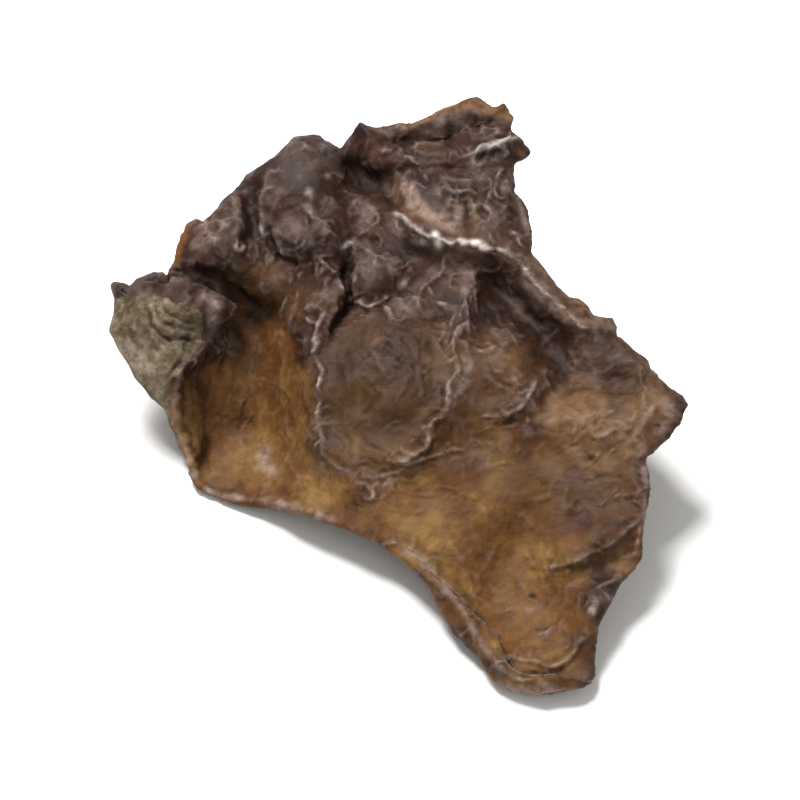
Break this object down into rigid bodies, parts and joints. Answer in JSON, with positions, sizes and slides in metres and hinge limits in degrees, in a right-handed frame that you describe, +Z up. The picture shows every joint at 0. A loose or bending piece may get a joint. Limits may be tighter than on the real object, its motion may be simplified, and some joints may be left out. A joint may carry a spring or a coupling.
{
  "type": "dried wood ear mushroom",
  "caption": "Dried wood ear mushroom: one thin leathery ear, crumpled as it dried, with a curled flap at its side, a folded-down back and a spoon-shaped front lobe.",
  "frame": {"origin": "centre of the bounding box's base, on the table the ear lies on", "axes": "+Z up, -Y towards the front lobe, +Y towards the gathered base and the folded-down back, +X towards the right wing; the curled flap is on the -X side"},
  "size_m": [0.0518, 0.0576, 0.0198],
  "materials": {
    "dried_ear": "matte, finely wrinkled, purplish brown to amber"
  },
  "bodies": {
    "root": {"wood_ear": "dried_ear"}
  },
  "joints": []
}
